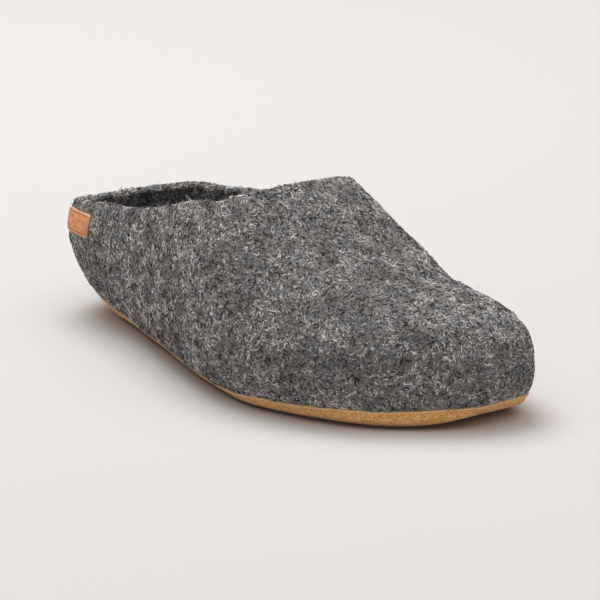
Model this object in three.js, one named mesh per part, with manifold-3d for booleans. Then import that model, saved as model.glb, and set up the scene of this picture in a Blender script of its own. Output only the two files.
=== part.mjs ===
// A felt house slipper for the right foot: a low-backed mule, felted whole over a last, on a thin
// suede sole that is glued under it and turned up round its edge.
//
// Millimetres, +Z up. +X runs from the heel to the toe, -Y is the outer side of the foot, and the
// slipper stands on the floor at z = 0. The origin is under the middle of its box.
//
// Every piece is cut from one form, the last's own surface, moved out or in along its normals:
//   upper       the form less the form one felt wall further in, open above the collar line
//   outsole     one thickness of suede outside the felt, kept below the line of its edge
//   insole      what fills the inside of the upper, up to the footbed
//   heel_label  a strip of leather outside the felt, kept inside a small block at the heel
import * as THREE from "three";
import { mergeVertices } from "three/addons/utils/BufferGeometryUtils.js";
import Module from "manifold-3d";

const wasm = await Module();
wasm.setup();

// Driving dimensions of the felt upper, measured outside.
const LENGTH = 276;
const HEEL_WIDTH = 76;
const WAIST_WIDTH = 86;
const BALL_WIDTH = 108;
const TOE_WIDTH = 100;
const HEEL_HEIGHT = 54; // the collar at the back of the heel, above the floor
const INSTEP_HEIGHT = 88; // the collar at the throat, above the floor
const TOE_HEIGHT = 52; // the toe box over the toes, above the floor
const TOE_SPRING = 3;
const ARCH_RISE = 1;
const FELT_WALL = 4.5;

// The other pieces.
const SUEDE_THICKNESS = 2.2;
const SUEDE_TURN_UP = 5.2; // how far the sole's edge climbs the felt, above its lowest face
const INSOLE_THICKNESS = 4;
const LABEL_LENGTH = 21;
const LABEL_HEIGHT = 10.5;
const LABEL_THICKNESS = 1.2;
const GLUE_GAP = 0.3; // between any two pieces that touch
const SANDED_OFF = 0.15; // taken off the suede where it stands flat on the floor
const SLIVER = 0.01; // facets narrower than this are merged into their neighbours

const FELT_FLOOR = SUEDE_THICKNESS + GLUE_GAP; // the felt's lowest face, above the floor

// The last seen from above. `lateral` and `medial` are shares of the row's own `width`, and `flat` is
// the share of each half that is flat underneath.
const PLAN = [
  { at: 0.0, width: HEEL_WIDTH, lateral: 0.57, medial: 0.47, flat: 0.32 },
  { at: 0.14, width: HEEL_WIDTH, lateral: 0.565, medial: 0.47, flat: 0.34 },
  { at: 0.34, width: WAIST_WIDTH, lateral: 0.58, medial: 0.42, flat: 0.6 },
  { at: 0.5, width: WAIST_WIDTH, lateral: 0.67, medial: 0.44, flat: 0.69 },
  { at: 0.66, width: BALL_WIDTH, lateral: 0.57, medial: 0.435, flat: 0.71 },
  { at: 0.78, width: BALL_WIDTH, lateral: 0.47, medial: 0.46, flat: 0.66 },
  { at: 0.88, width: TOE_WIDTH, lateral: 0.34, medial: 0.51, flat: 0.62 },
  { at: 1.0, width: TOE_WIDTH, lateral: 0.0, medial: 0.52, flat: 0.6 },
];

// The last seen from the side. `crown` is a share of the row's own `height`, `waist` the height of
// the widest point as a share of the crown, `ridge` how far the top lies towards the inner edge, and
// `square` the power of the curve over the top: 2 is round, and more is flatter with fuller sides.
const SIDE = [
  { at: 0.0, height: HEEL_HEIGHT, crown: 1.34, waist: 0.56, ridge: 0.0, square: 2.2 },
  { at: 0.15, height: HEEL_HEIGHT, crown: 1.42, waist: 0.49, ridge: 0.0, square: 2.2 },
  { at: 0.4, height: INSTEP_HEIGHT, crown: 1.07, waist: 0.38, ridge: 0.05, square: 2.3 },
  { at: 0.56, height: INSTEP_HEIGHT, crown: 1.07, waist: 0.36, ridge: 0.12, square: 2.3 },
  { at: 0.7, height: INSTEP_HEIGHT, crown: 0.79, waist: 0.4, ridge: 0.15, square: 2.2 },
  { at: 0.79, height: TOE_HEIGHT, crown: 1.09, waist: 0.42, ridge: 0.2, square: 2.2 },
  { at: 0.88, height: TOE_HEIGHT, crown: 1.0, waist: 0.45, ridge: 0.25, square: 2.3 },
  { at: 1.0, height: TOE_HEIGHT, crown: 0.98, waist: 0.5, ridge: 0.25, square: 2.3 },
];

// The line that the collar is cut to, seen from the side. Across the slipper it leans: it lies lower
// by COLLAR_LEAN for each millimetre towards the inner side.
const COLLAR = [
  { at: -0.1, height: HEEL_HEIGHT, share: 0.955 },
  { at: 0.01, height: HEEL_HEIGHT, share: 0.965 },
  { at: 0.07, height: HEEL_HEIGHT, share: 1.025 },
  { at: 0.13, height: HEEL_HEIGHT, share: 1.065 },
  { at: 0.19, height: HEEL_HEIGHT, share: 1.12 },
  { at: 0.27, height: HEEL_HEIGHT, share: 1.17 },
  { at: 0.36, height: INSTEP_HEIGHT, share: 0.785 },
  { at: 0.44, height: INSTEP_HEIGHT, share: 0.86 },
  { at: 0.5, height: INSTEP_HEIGHT, share: 0.915 },
  { at: 0.545, height: INSTEP_HEIGHT, share: 0.935 },
  { at: 0.58, height: INSTEP_HEIGHT, share: 1.005 },
  { at: 0.64, height: INSTEP_HEIGHT, share: 1.135 },
];
const COLLAR_LEAN = 0.035;

// The underside seen from the side. `spring` and `arch` are shares of the toe spring and the arch
// that it is lifted by, and `turnUp` is the share of the suede's turn-up that its edge is trimmed to.
const UNDERSIDE = [
  { at: 0.0, spring: 0.0, arch: 0.6, turnUp: 2.1 },
  { at: 0.12, spring: 0.0, arch: 0.0, turnUp: 1.2 },
  { at: 0.25, spring: 0.0, arch: 0.0, turnUp: 0.5 },
  { at: 0.4, spring: 0.0, arch: 1.0, turnUp: 0.2 },
  { at: 0.54, spring: 0.0, arch: 0.0, turnUp: 0.2 },
  { at: 0.7, spring: 0.0, arch: 0.0, turnUp: 0.65 },
  { at: 0.8, spring: 0.0, arch: 0.0, turnUp: 0.9 },
  { at: 0.9, spring: 0.18, arch: 0.0, turnUp: 1.0 },
  { at: 1.0, spring: 1.0, arch: 0.0, turnUp: 0.9 },
];

// How the ends of the last round off: the length of the rounding and its power.
const HEEL_ROUND = {
  plan: 0.42 * HEEL_WIDTH,
  crown: 0.6 * HEEL_HEIGHT,
  base: 0.95 * HEEL_HEIGHT,
  power: 2.2,
};
const TOE_ROUND = {
  plan: 0.44 * TOE_WIDTH,
  crown: 1.1 * TOE_HEIGHT,
  base: 0.56 * TOE_HEIGHT,
  power: 2.3,
};
const HEEL_TIP = 0.62 * HEEL_HEIGHT; // height of the rearmost point
const TOE_TIP = 0.52 * TOE_HEIGHT; // height of the foremost point

const STATIONS = 42;
const UNDER_STEPS = 6;
const EDGE_STEPS = 8;
const OVER_STEPS = 18;

// The value of one column at a share of the length: a smooth curve through the rows.
function columnAt(rows, at, valueOf) {
  const last = rows.length - 1;
  const slopeAt = (i) => {
    const before = rows[Math.max(i - 1, 0)];
    const after = rows[Math.min(i + 1, last)];
    return (valueOf(after) - valueOf(before)) / (after.at - before.at);
  };
  let i = 0;
  while (i < last - 1 && at > rows[i + 1].at) i += 1;
  const span = rows[i + 1].at - rows[i].at;
  const t = Math.min(Math.max((at - rows[i].at) / span, 0), 1);
  return (
    valueOf(rows[i]) * (1 + 2 * t) * (1 - t) ** 2 +
    slopeAt(i) * span * t * (1 - t) ** 2 +
    valueOf(rows[i + 1]) * t * t * (3 - 2 * t) +
    slopeAt(i + 1) * span * t * t * (t - 1)
  );
}

// 0 at an end, rising steeply and levelling off at 1 after `length`, as a superellipse does.
function roundedEnd(distance, length, power) {
  const t = Math.min(Math.max(distance / length, 0), 1);
  return (1 - (1 - t) ** power) ** (1 / power);
}

// The height of the felt's lowest line at x, away from the rounded ends.
function baseAt(x) {
  const riseOf = (row) => TOE_SPRING * row.spring + ARCH_RISE * row.arch;
  return FELT_FLOOR + columnAt(UNDERSIDE, x / LENGTH, riseOf);
}

// The size of the last's cross-section at x.
function sectionAt(x) {
  const at = x / LENGTH;
  const ends = (key) =>
    roundedEnd(x, HEEL_ROUND[key], HEEL_ROUND.power) *
    roundedEnd(LENGTH - x, TOE_ROUND[key], TOE_ROUND.power);
  const lateral = columnAt(PLAN, at, (row) => row.width * row.lateral);
  const medial = columnAt(PLAN, at, (row) => row.width * row.medial);
  const half = ((medial + lateral) / 2) * ends("plan");
  const crown = columnAt(SIDE, at, (row) => row.height * row.crown);
  const base = baseAt(x);
  const tip = x < LENGTH / 2 ? HEEL_TIP : TOE_TIP;
  const top = tip + (crown - tip) * ends("crown");
  const bottom = tip - (tip - base) * ends("base");
  return {
    middle: (medial - lateral) / 2,
    half,
    flat: half * columnAt(PLAN, at, (row) => row.flat),
    ridge: half * columnAt(SIDE, at, (row) => row.ridge),
    top,
    bottom,
    widest: bottom + (top - bottom) * columnAt(SIDE, at, (row) => row.waist),
    square: columnAt(SIDE, at, (row) => row.square),
  };
}

// One closed ring of the last: flat underneath, an elliptical edge up to the widest point on each
// side, and a superellipse over the top.
function ringAt(x) {
  const s = sectionAt(x);
  const ring = [];
  const add = (y, z) => ring.push(new THREE.Vector3(x, s.middle + y, z));
  const edge = (side, share) => {
    const a = (Math.PI / 2) * share;
    const out = s.flat + (s.half - s.flat) * Math.sin(a);
    add(side * out, s.widest - (s.widest - s.bottom) * Math.cos(a));
  };
  const over = (share) => {
    const a = Math.PI * share;
    const across = Math.sign(Math.cos(a)) * Math.abs(Math.cos(a)) ** (2 / s.square);
    const reach = s.half - Math.sign(across) * s.ridge; // from the ridge to that side
    add(s.ridge + reach * across, s.widest + (s.top - s.widest) * Math.sin(a) ** (2 / s.square));
  };
  for (let i = 0; i < UNDER_STEPS; i += 1) add(s.flat * ((2 * i) / UNDER_STEPS - 1), s.bottom);
  for (let i = 0; i < EDGE_STEPS; i += 1) edge(1, i / EDGE_STEPS);
  for (let i = 0; i < OVER_STEPS; i += 1) over(i / OVER_STEPS);
  for (let i = EDGE_STEPS; i > 0; i -= 1) edge(-1, i / EDGE_STEPS);
  return ring;
}

// The whole last as one closed geometry, its surface moved out by `offset` along its normals.
function lastGeometry(offset) {
  const stations = Array.from({ length: STATIONS - 1 }, (_, i) => {
    return (LENGTH * (1 - Math.cos((Math.PI * (i + 1)) / STATIONS))) / 2;
  });
  const rings = stations.map(ringAt);
  const around = rings[0].length;
  const points = [new THREE.Vector3(0, sectionAt(0).middle, HEEL_TIP)];
  rings.forEach((ring) => points.push(...ring));
  points.push(new THREE.Vector3(LENGTH, sectionAt(LENGTH).middle, TOE_TIP));
  const faces = [];
  const at = (i, j) => 1 + i * around + (j % around);
  for (let j = 0; j < around; j += 1) {
    faces.push(0, at(0, j + 1), at(0, j));
    faces.push(points.length - 1, at(rings.length - 1, j), at(rings.length - 1, j + 1));
    for (let i = 0; i < rings.length - 1; i += 1) {
      faces.push(at(i, j), at(i, j + 1), at(i + 1, j));
      faces.push(at(i + 1, j), at(i, j + 1), at(i + 1, j + 1));
    }
  }
  const geometry = new THREE.BufferGeometry().setFromPoints(points).setIndex(faces);
  geometry.computeVertexNormals();
  const normal = new THREE.Vector3();
  points.forEach((point, i) => {
    normal.fromBufferAttribute(geometry.attributes.normal, i);
    point.addScaledVector(normal, offset);
  });
  return geometry.setFromPoints(points);
}

// A closed geometry as a solid that can be joined and cut.
function solidOf(geometry) {
  geometry.deleteAttribute("normal");
  geometry.deleteAttribute("uv");
  const merged = mergeVertices(geometry, 1e-3);
  return new wasm.Manifold(
    new wasm.Mesh({
      numProp: 3,
      vertProperties: merged.attributes.position.array,
      triVerts: new Uint32Array(merged.index.array),
    }),
  );
}

// A solid as a named mesh with its own material.
function meshOf(name, solid, material) {
  const { numProp, numVert, vertProperties, triVerts } = solid.simplify(SLIVER).getMesh();
  const positions = new Float32Array(numVert * 3);
  for (let i = 0; i < numVert; i += 1) {
    positions.set(vertProperties.subarray(i * numProp, i * numProp + 3), i * 3);
  }
  const geometry = new THREE.BufferGeometry();
  geometry.setAttribute("position", new THREE.BufferAttribute(positions, 3));
  geometry.setIndex(new THREE.BufferAttribute(triVerts, 1));
  geometry.computeVertexNormals();
  const mesh = new THREE.Mesh(geometry, material);
  mesh.name = name;
  return mesh;
}

const last = (offset) => solidOf(lastGeometry(offset));

// A block right across the slipper, between two heights that are functions of x. It can lean down
// towards the inner side.
const BLOCK_STEPS = 43;
const BLOCK_OVERHANG = 20; // how far a block runs past the last at each end and side
function blockBetween(lower, upper, lean = 0) {
  const from = -BLOCK_OVERHANG;
  const to = LENGTH + BLOCK_OVERHANG;
  const xs = Array.from({ length: BLOCK_STEPS + 1 }, (_, i) => from + ((to - from) * i) / BLOCK_STEPS);
  const outline = [
    ...xs.map((x) => new THREE.Vector2(x, lower(x))),
    ...xs.reverse().map((x) => new THREE.Vector2(x, upper(x))),
  ];
  const depth = BALL_WIDTH + 2 * BLOCK_OVERHANG;
  const geometry = new THREE.ExtrudeGeometry(new THREE.Shape(outline), { depth, bevelEnabled: false });
  geometry.rotateX(Math.PI / 2).translate(0, depth / 2, 0);
  geometry.applyMatrix4(new THREE.Matrix4().makeShear(0, 0, 0, -lean, 0, 0));
  return solidOf(geometry);
}

const collarAt = (x) => columnAt(COLLAR, x / LENGTH, (row) => row.height * row.share);
const skyAt = () => 3 * INSTEP_HEIGHT;
const cellarAt = () => -INSTEP_HEIGHT;

function upper() {
  return last(0).subtract(last(-FELT_WALL)).subtract(blockBetween(collarAt, skyAt, COLLAR_LEAN));
}

function outsole() {
  const skin = last(GLUE_GAP + SUEDE_THICKNESS + SANDED_OFF).subtract(last(GLUE_GAP));
  const edgeAt = (x) => baseAt(x) + SUEDE_TURN_UP * columnAt(UNDERSIDE, x / LENGTH, (row) => row.turnUp);
  return skin.intersect(blockBetween(() => 0, edgeAt));
}

function insole() {
  const footbedAt = (x) => baseAt(x) + FELT_WALL + GLUE_GAP + INSOLE_THICKNESS;
  return last(-FELT_WALL - GLUE_GAP).intersect(blockBetween(cellarAt, footbedAt));
}

// The label lies on the outer side of the heel, where the felt faces LABEL_BEARING seen from above.
const LABEL_BEARING = THREE.MathUtils.degToRad(260);
const LABEL_MIDDLE = 0.885 * HEEL_HEIGHT; // the height of its middle
function heelLabel() {
  const skin = last(GLUE_GAP + LABEL_THICKNESS).subtract(last(GLUE_GAP));
  const reach = HEEL_WIDTH / 2;
  const block = new THREE.BoxGeometry(reach, LABEL_LENGTH, LABEL_HEIGHT);
  block.translate(reach, 0, 0).rotateZ(LABEL_BEARING);
  block.translate(HEEL_WIDTH / 2, 0, LABEL_MIDDLE);
  return skin.intersect(solidOf(block));
}

const felt = new THREE.MeshStandardMaterial({ color: 0x5d5b5c, roughness: 0.95, metalness: 0 });
const suede = new THREE.MeshStandardMaterial({ color: 0xc08a4c, roughness: 0.9, metalness: 0 });
const liningFelt = new THREE.MeshStandardMaterial({ color: 0x6a6868, roughness: 0.95, metalness: 0 });
const leather = new THREE.MeshStandardMaterial({ color: 0xc57f50, roughness: 0.6, metalness: 0 });

const slipper = new THREE.Group();
slipper.add(
  meshOf("upper", upper(), felt),
  meshOf("outsole", outsole(), suede),
  meshOf("insole", insole(), liningFelt),
  meshOf("heel_label", heelLabel(), leather),
);

// The origin goes under the middle of the slipper's own box.
const box = new THREE.Box3().setFromObject(slipper);
const middle = box.getCenter(new THREE.Vector3());
slipper.position.set(-middle.x, -middle.y, -box.min.z);

export default slipper;
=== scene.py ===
# %% [markdown]
# # A felt slipper
#
# One low-backed house slipper for the right foot. The body is wet-felted from wool in one piece, the
# sole is a sheet of suede turned up a few millimetres round its edge, and a small leather label sits
# at the heel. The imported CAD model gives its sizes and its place. Here each CAD solid is replaced by
# a finer surface of the same form, worked out with numpy, and gets the wool, suede and leather that
# the solids don't have.

import bpy
import numpy as np
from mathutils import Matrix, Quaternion, Vector


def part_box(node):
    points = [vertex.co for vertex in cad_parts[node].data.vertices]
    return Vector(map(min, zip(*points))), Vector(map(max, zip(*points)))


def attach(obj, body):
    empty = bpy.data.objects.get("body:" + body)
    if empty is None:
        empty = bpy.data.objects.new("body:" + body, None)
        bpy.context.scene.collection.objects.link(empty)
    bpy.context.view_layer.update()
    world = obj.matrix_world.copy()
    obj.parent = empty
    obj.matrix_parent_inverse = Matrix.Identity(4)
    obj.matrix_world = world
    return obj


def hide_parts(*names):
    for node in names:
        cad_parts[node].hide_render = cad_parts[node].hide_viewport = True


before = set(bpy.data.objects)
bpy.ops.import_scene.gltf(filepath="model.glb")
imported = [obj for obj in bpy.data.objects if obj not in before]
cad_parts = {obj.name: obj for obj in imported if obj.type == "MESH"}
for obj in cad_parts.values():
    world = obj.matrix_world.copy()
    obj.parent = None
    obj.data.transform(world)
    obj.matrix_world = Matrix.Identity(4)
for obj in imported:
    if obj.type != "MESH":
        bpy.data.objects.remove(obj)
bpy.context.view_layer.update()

# %% [markdown]
# ## The last
#
# A slipper gets its form from the last that it is felted over, so the last comes first. It could be
# sculpted, or lofted through drawn sections. Here it is a short table of sections for each view, in
# shares of a few named sizes, because the same tables then give the felt, the sole, the insole and
# the label, at any distance from the last. All lengths are in metres.

# %% The sizes and tables of the last
MM = 0.001
LENGTH, HEEL_WIDTH, WAIST_WIDTH, BALL_WIDTH, TOE_WIDTH = 276 * MM, 76 * MM, 86 * MM, 108 * MM, 100 * MM
HEEL_HEIGHT, INSTEP_HEIGHT, TOE_HEIGHT = 54 * MM, 88 * MM, 52 * MM
TOE_SPRING, ARCH_RISE = 3 * MM, 1 * MM
FELT_WALL, GLUE_GAP = 4.5 * MM, 0.3 * MM
SUEDE_THICKNESS, SUEDE_TURN_UP, INSOLE_THICKNESS = 2.2 * MM, 5.2 * MM, 4 * MM
LABEL_LENGTH, LABEL_HEIGHT, LABEL_THICKNESS = 21 * MM, 10.5 * MM, 1.2 * MM
FELT_FLOOR = SUEDE_THICKNESS + GLUE_GAP  # the felt's lowest face, above the floor

# Seen from above: lateral and medial are shares of the width, flat is the share that is flat below.
PLAN = {
    "at": (0.00, 0.14, 0.34, 0.50, 0.66, 0.78, 0.88, 1.00),
    "width": (HEEL_WIDTH,) * 2 + (WAIST_WIDTH,) * 2 + (BALL_WIDTH,) * 2 + (TOE_WIDTH,) * 2,
    "lateral": (0.57, 0.565, 0.58, 0.67, 0.57, 0.47, 0.34, 0.0),
    "medial": (0.47, 0.47, 0.42, 0.44, 0.435, 0.46, 0.51, 0.52),
    "flat": (0.32, 0.34, 0.60, 0.69, 0.71, 0.66, 0.62, 0.60),
}
# Seen from the side: crown is a share of the height, waist the height of the widest point as a share
# of the crown, ridge how far the top lies inwards, square the power of the curve over the top.
SIDE = {
    "at": (0.00, 0.15, 0.40, 0.56, 0.70, 0.79, 0.88, 1.00),
    "height": (HEEL_HEIGHT,) * 2 + (INSTEP_HEIGHT,) * 3 + (TOE_HEIGHT,) * 3,
    "crown": (1.34, 1.42, 1.07, 1.07, 0.79, 1.09, 1.00, 0.98),
    "waist": (0.56, 0.49, 0.38, 0.36, 0.40, 0.42, 0.45, 0.50),
    "ridge": (0.00, 0.00, 0.05, 0.12, 0.15, 0.20, 0.25, 0.25),
    "square": (2.2, 2.2, 2.3, 2.3, 2.2, 2.2, 2.3, 2.3),
}
# The line that the collar is cut to. Across the slipper it leans down towards the inner side.
COLLAR = {
    "at": (-0.10, 0.01, 0.07, 0.13, 0.19, 0.27, 0.36, 0.44, 0.50, 0.545, 0.58, 0.64),
    "height": (HEEL_HEIGHT,) * 6 + (INSTEP_HEIGHT,) * 6,
    "share": (0.955, 0.965, 1.025, 1.065, 1.12, 1.17, 0.785, 0.86, 0.915, 0.935, 1.005, 1.135),
}
COLLAR_LEAN = 0.035
# The underside: shares of the toe spring, of the arch, and of the suede's turn-up.
UNDERSIDE = {
    "at": (0.00, 0.12, 0.25, 0.40, 0.54, 0.70, 0.80, 0.90, 1.00),
    "spring": (0.0, 0.0, 0.0, 0.0, 0.0, 0.0, 0.0, 0.18, 1.0),
    "arch": (0.6, 0.0, 0.0, 1.0, 0.0, 0.0, 0.0, 0.0, 0.0),
    "turn_up": (2.1, 1.2, 0.5, 0.2, 0.2, 0.65, 0.9, 1.0, 0.9),
}
# How the ends round off: the length of the rounding in each view, and its power.
HEEL_ROUND = {"plan": 0.42 * HEEL_WIDTH, "crown": 0.6 * HEEL_HEIGHT, "base": 0.95 * HEEL_HEIGHT, "power": 2.2}
TOE_ROUND = {"plan": 0.44 * TOE_WIDTH, "crown": 1.1 * TOE_HEIGHT, "base": 0.56 * TOE_HEIGHT, "power": 2.3}
HEEL_TIP, TOE_TIP = 0.62 * HEEL_HEIGHT, 0.52 * TOE_HEIGHT  # heights of the two end points


def column(table, values, share):
    """A smooth curve through one column of a table: cubic between two rows, and at each row it has
    the slope of the line through that row's neighbours."""
    at, values = np.asarray(table["at"]), np.asarray(values)
    before = np.maximum(np.arange(len(at)) - 1, 0)
    after = np.minimum(np.arange(len(at)) + 1, len(at) - 1)
    slope = (values[after] - values[before]) / (at[after] - at[before])
    row = np.clip(np.searchsorted(at, share, side="right") - 1, 0, len(at) - 2)
    span = at[row + 1] - at[row]
    t = np.clip((share - at[row]) / span, 0, 1)
    return (
        values[row] * (1 + 2 * t) * (1 - t) ** 2
        + slope[row] * span * t * (1 - t) ** 2
        + values[row + 1] * t**2 * (3 - 2 * t)
        + slope[row + 1] * span * t**2 * (t - 1)
    )


def product(table, first, second):
    """One column times another, row by row."""
    return np.multiply(table[first], table[second])


def base_at(share):
    """The height of the felt's lowest line: its floor, the toe spring and the arch."""
    rise = TOE_SPRING * np.asarray(UNDERSIDE["spring"]) + ARCH_RISE * np.asarray(UNDERSIDE["arch"])
    return FELT_FLOOR + column(UNDERSIDE, rise, share)


def rounded_end(distance, length, power):
    """0 at the end, rising steeply and level at 1 after the length, as a superellipse does."""
    t = np.clip(distance / length, 0, 1)
    return (1 - (1 - t) ** power) ** (1 / power)


def section_at(share):
    """The cross-section of the last at a share of its length: its middle, half width, flat half
    width underneath, ridge, top, bottom, widest height and the power of the curve over the top."""
    x = LENGTH * share
    ends = {
        key: rounded_end(x, HEEL_ROUND[key], HEEL_ROUND["power"])
        * rounded_end(LENGTH - x, TOE_ROUND[key], TOE_ROUND["power"])
        for key in ("plan", "crown", "base")
    }
    lateral = column(PLAN, product(PLAN, "width", "lateral"), share)
    medial = column(PLAN, product(PLAN, "width", "medial"), share)
    half = (medial + lateral) / 2 * ends["plan"]
    tip = np.where(share < 0.5, HEEL_TIP, TOE_TIP)
    top = tip + (column(SIDE, product(SIDE, "height", "crown"), share) - tip) * ends["crown"]
    bottom = tip - (tip - base_at(share)) * ends["base"]
    return {
        "middle": (medial - lateral) / 2,
        "half": half,
        "flat": half * column(PLAN, PLAN["flat"], share),
        "ridge": half * column(SIDE, SIDE["ridge"], share),
        "top": top,
        "bottom": bottom,
        "widest": bottom + (top - bottom) * column(SIDE, SIDE["waist"], share),
        "square": column(SIDE, SIDE["square"], share),
    }


# %% [markdown]
# ## The last as a bent ball
#
# A grid of rings from heel to toe would be cut across by the collar and leave ragged cells. The last
# is a closed form like a ball, so here each point of it is named by a direction, as on a globe: how
# far a direction leans to the toe gives the station, and its angle round the long axis gives the
# place on the ring. Great circles from the middle of the opening to the point opposite then run over
# the collar, down the sides and under the sole, and every edge can be one of their rows.


# %% The point of the last in each direction
def last_point(direction):
    """A direction leans to the toe by its x, which gives the share of the length. Its angle round x
    picks the point of the ring: a superellipse over the top, and underneath a flat and two quarter
    ellipses that rise to the widest point."""
    share = np.clip((1 + direction[..., 0]) / 2, 0, 1)
    s = section_at(share)
    angle = np.arctan2(direction[..., 2], direction[..., 1])
    across, up = np.cos(angle), np.sin(angle)
    reach = (np.abs(across) ** s["square"] + np.abs(up) ** s["square"]) ** (-1 / s["square"])
    across, up = across * reach, up * reach
    over_y = s["ridge"] + (s["half"] - np.sign(across) * s["ridge"]) * across
    over_z = s["widest"] + (s["top"] - s["widest"]) * up
    # underneath, 0 is the middle and 1 the widest point; the flat gets its share of the way
    round_part = 0.5 * np.pi * np.hypot(s["half"] - s["flat"], s["widest"] - s["bottom"]) / np.sqrt(2)
    flat_share = s["flat"] / (s["flat"] + round_part + 1e-9)
    way = (angle + np.pi / 2) / (np.pi / 2)
    side, way = np.sign(way), np.clip(np.abs(way), 0, 1)
    turn = np.pi / 2 * np.clip((way - flat_share) / (1 - flat_share), 0, 1)
    under_y = s["flat"] * np.minimum(way / (flat_share + 1e-9), 1) + (s["half"] - s["flat"]) * np.sin(turn)
    under_z = s["widest"] - (s["widest"] - s["bottom"]) * np.cos(turn)
    over = angle >= 0
    y = s["middle"] + np.where(over, over_y, side * under_y)
    z = np.where(over, over_z, under_z)
    return np.stack([LENGTH * (share - 0.5), y, z], axis=-1)


def unit(vectors):
    """Vectors of length 1."""
    return vectors / np.maximum(np.linalg.norm(vectors, axis=-1, keepdims=True), 1e-12)


# The globe's poles: the middle of the opening, and the point opposite it under the ball of the foot.
OPENING_SHARE = 0.3
OPENING = np.array([2 * OPENING_SHARE - 1, 0, np.sqrt(1 - (2 * OPENING_SHARE - 1) ** 2)])
TOEWARDS = np.array([OPENING[2], 0, -OPENING[0]])
INWARDS = np.array([0.0, 1.0, 0.0])


def direction_at(way, turn):
    """The direction reached from the opening by going an angle `way` along the great circle that
    leaves at the angle `turn`: 0 for the toe, a quarter turn for the inner side."""
    way, turn = np.broadcast_arrays(way, turn)
    way, turn = way[..., None], turn[..., None]
    level = np.cos(turn) * TOEWARDS + np.sin(turn) * INWARDS
    return np.cos(way) * OPENING + np.sin(way) * level


def last_normal(direction, step=2e-4):
    """The outward normal: the cross product of two small steps over the surface."""
    side = unit(np.cross(direction, np.array([0.31, 0.93, 0.2])))  # any way across the direction
    other = np.cross(direction, side)
    along = last_point(unit(direction + step * side)) - last_point(unit(direction - step * side))
    across = last_point(unit(direction + step * other)) - last_point(unit(direction - step * other))
    return unit(np.cross(along, across))


def way_to(height_of, turn, offset=0.0, far=2.9, lean=0.0):
    """How far each great circle goes before the surface, moved out by the offset, falls below a
    height that depends on the share of the length and leans down to the inner side. Found by halving
    an interval 40 times."""
    near, far = np.zeros_like(turn), np.full_like(turn, far)
    for _ in range(40):
        middle = (near + far) / 2
        direction = direction_at(middle, turn)
        point = last_point(direction) + offset * last_normal(direction)
        above = point[..., 2] > height_of(point[..., 0] / LENGTH + 0.5) - lean * point[..., 1]
        near, far = np.where(above, middle, near), np.where(above, far, middle)
    return near


def collar_at(share):
    """The height that the collar is cut to."""
    return column(COLLAR, product(COLLAR, "height", "share"), share)


many_turns = np.linspace(0, 2 * np.pi, 1440, endpoint=False)
probe = last_point(direction_at(np.linspace(0, np.pi, 400)[:, None], many_turns))
seat_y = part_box("upper")[0].y - probe[..., 1].min()  # the CAD model is centred on its own box
print("last", (probe.max((0, 1)) - probe.min((0, 1))).round(4), "moved in y by", round(float(seat_y), 5))

# %% [markdown]
# ## Lumps and creases
#
# Hand-felted wool is never even: the wall swells and thins over a few centimetres, and the body
# keeps soft dents from being turned and worn. A Displace modifier with a texture could do the
# unevenness, but a sum of seeded waves is exact and the same each time. The main dents are placed one
# by one, in a table, because where they lie is what makes them this slipper's.


# %% The unevenness of felt and its soft dents
def waves(points, size, height, seed, count=48):
    """Smooth unevenness: the sum of seeded plane waves with lengths about `size`, in all directions,
    scaled so that it strays from zero by `height` on average."""
    draw = np.random.default_rng(seed)
    heading = unit(draw.normal(size=(count, 3)))
    waves_per_metre = 2 * np.pi / (size * draw.uniform(0.7, 1.4, count))
    phase = draw.uniform(0, 2 * np.pi, count)
    flat = points.reshape(-1, 3)
    total = np.zeros(len(flat))
    for k in range(count):
        total += np.sin(flat @ heading[k] * waves_per_metre[k] + phase[k])
    return (total * height * np.sqrt(2 / count)).reshape(points.shape[:-1])


# Each soft trough (negative) or ridge (positive) runs between two points of the body, given by their
# share of the length and their bearing round it: 90 is the top, 180 the outer side, 0 the inner.
CREASES = {
    "from_at": (0.30, 0.44, 0.60, 0.74, 0.93, 0.17, 0.40, 0.62, 0.70, 0.80, 0.52),
    "from_round": (158, 165, 118, 150, 150, 170, 30, 40, 75, 110, 100),
    "to_at": (0.26, 0.40, 0.68, 0.80, 0.88, 0.22, 0.36, 0.68, 0.80, 0.88, 0.57),
    "to_round": (200, 205, 150, 196, 196, 205, -15, 0, 60, 95, 130),
    "width": (11, 9, 10, 9, 8, 9, 11, 10, 12, 10, 12),
    "depth": (-0.9, 0.6, -0.8, 0.6, -0.7, 0.5, -0.8, 0.6, -0.7, 0.6, 0.5),
}


def on_body(share, bearing):
    """The point of the last at a share of its length and a bearing in degrees round its long axis."""
    lean, angle = 2 * np.asarray(share) - 1, np.radians(bearing)
    level = np.sqrt(1 - lean**2)
    return last_point(np.stack([lean, level * np.cos(angle), level * np.sin(angle)], axis=-1))


def creases(points):
    """The dents' heights at the points: each is a bell across its line, and fades to its ends."""
    start = on_body(CREASES["from_at"], CREASES["from_round"])
    end = on_body(CREASES["to_at"], CREASES["to_round"])
    total = np.zeros(points.shape[:-1])
    for a, b, width, depth in zip(start, end, CREASES["width"], CREASES["depth"]):
        along = np.clip(((points - a) @ (b - a)) / ((b - a) @ (b - a)), 0, 1)
        distance = np.linalg.norm(points - a - along[..., None] * (b - a), axis=-1)
        fade = np.sin(np.pi * (0.15 + 0.7 * along))
        total += depth * MM * fade * np.exp(-((distance / (width * MM)) ** 2))
    return total


def rising(value, start, end):
    """0 up to the start, 1 from the end on, and a smooth step between them."""
    t = np.clip((value - start) / (end - start), 0, 1)
    return t * t * (3 - 2 * t)


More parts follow.
